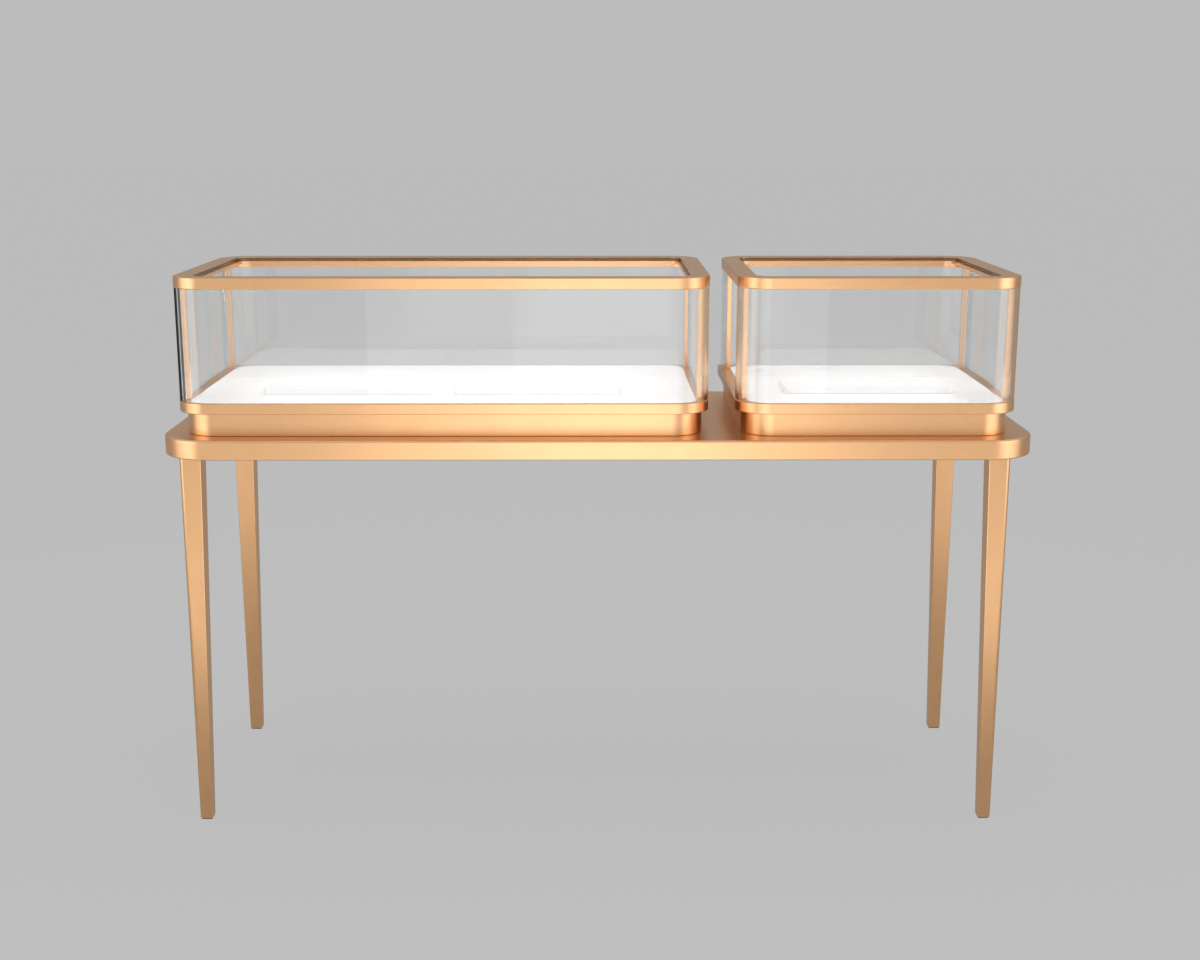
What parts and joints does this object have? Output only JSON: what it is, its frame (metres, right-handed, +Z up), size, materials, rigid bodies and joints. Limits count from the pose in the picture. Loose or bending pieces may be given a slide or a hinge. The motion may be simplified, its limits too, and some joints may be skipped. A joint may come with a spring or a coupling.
{
  "type": "glass display showcase",
  "caption": "Rose-gold retail jewellery counter: a tapered-leg table with a large and a small rounded glass case, each with a lockable rear pull-out tray.",
  "frame": {"origin": "on the floor under the middle of the table", "axes": "+X along the counter to the customer's right, +Y to the service side at the rear, +Z up"},
  "size_m": [1.5, 0.5, 0.9675],
  "materials": {
    "satin_rose_gold_steel": "satin",
    "satin_rose_gold_profile": "satin",
    "polished_rose_gold": "polished",
    "clear_glass": "polished",
    "white_lacquer": "gloss",
    "board_core": "matte",
    "zinc_steel": "satin",
    "lock_chrome": "polished",
    "nylon_pad": "matte"
  },
  "bodies": {
    "stand": {"tabletop": "satin_rose_gold_steel", "tabletop_core": "board_core", "leg_front_left": "satin_rose_gold_steel", "leg_bolt_front_left": "zinc_steel", "foot_pad_front_left": "nylon_pad", "leg_front_right": "satin_rose_gold_steel", "leg_bolt_front_right": "zinc_steel", "foot_pad_front_right": "nylon_pad", "leg_rear_left": "satin_rose_gold_steel", "leg_bolt_rear_left": "zinc_steel", "foot_pad_rear_left": "nylon_pad", "leg_rear_right": "satin_rose_gold_steel", "leg_bolt_rear_right": "zinc_steel", "foot_pad_rear_right": "nylon_pad", "left_plinth": "satin_rose_gold_profile", "left_rim": "satin_rose_gold_profile", "left_top_frame": "satin_rose_gold_profile", "left_glass_front": "clear_glass", "left_glass_side_left": "clear_glass", "left_glass_side_right": "clear_glass", "left_glass_lid": "clear_glass", "left_post_front_left": "polished_rose_gold", "left_post_front_right": "polished_rose_gold", "left_post_rear_left": "polished_rose_gold", "left_post_rear_right": "polished_rose_gold", "left_slide_channel_left": "zinc_steel", "left_slide_channel_right": "zinc_steel", "left_lock_strike": "zinc_steel", "right_plinth": "satin_rose_gold_profile", "right_rim": "satin_rose_gold_profile", "right_top_frame": "satin_rose_gold_profile", "right_glass_front": "clear_glass", "right_glass_side_left": "clear_glass", "right_glass_side_right": "clear_glass", "right_glass_lid": "clear_glass", "right_post_front_left": "polished_rose_gold", "right_post_front_right": "polished_rose_gold", "right_post_rear_left": "polished_rose_gold", "right_post_rear_right": "polished_rose_gold", "right_slide_channel_left": "zinc_steel", "right_slide_channel_right": "zinc_steel", "right_lock_strike": "zinc_steel"},
    "left_tray": {"left_deck": "white_lacquer", "left_rear_fascia": "satin_rose_gold_profile", "left_glass_rear": "clear_glass", "left_slide_runner_left": "zinc_steel", "left_slide_runner_right": "zinc_steel", "left_riser_a": "white_lacquer", "left_riser_b": "white_lacquer"},
    "left_lock": {"left_lock_cylinder": "lock_chrome", "left_lock_cam": "zinc_steel"},
    "right_tray": {"right_deck": "white_lacquer", "right_rear_fascia": "satin_rose_gold_profile", "right_glass_rear": "clear_glass", "right_slide_runner_left": "zinc_steel", "right_slide_runner_right": "zinc_steel", "right_riser": "white_lacquer"},
    "right_lock": {"right_lock_cylinder": "lock_chrome", "right_lock_cam": "zinc_steel"}
  },
  "joints": [
    {"name": "left_tray_slide", "type": "slide", "parent": "stand", "child": "left_tray", "axis": [0, 1, 0], "range_m": [0, 0.27]},
    {"name": "left_lock_turn", "type": "hinge", "parent": "left_tray", "child": "left_lock", "pos_m": [-0.2655, 0.203, 0.719], "axis": [0, 1, 0], "range_deg": [0, 90]},
    {"name": "right_tray_slide", "type": "slide", "parent": "stand", "child": "right_tray", "axis": [0, 1, 0], "range_m": [0, 0.27]},
    {"name": "right_lock_turn", "type": "hinge", "parent": "right_tray", "child": "right_lock", "pos_m": [0.4775, 0.203, 0.719], "axis": [0, 1, 0], "range_deg": [0, 90]}
  ]
}
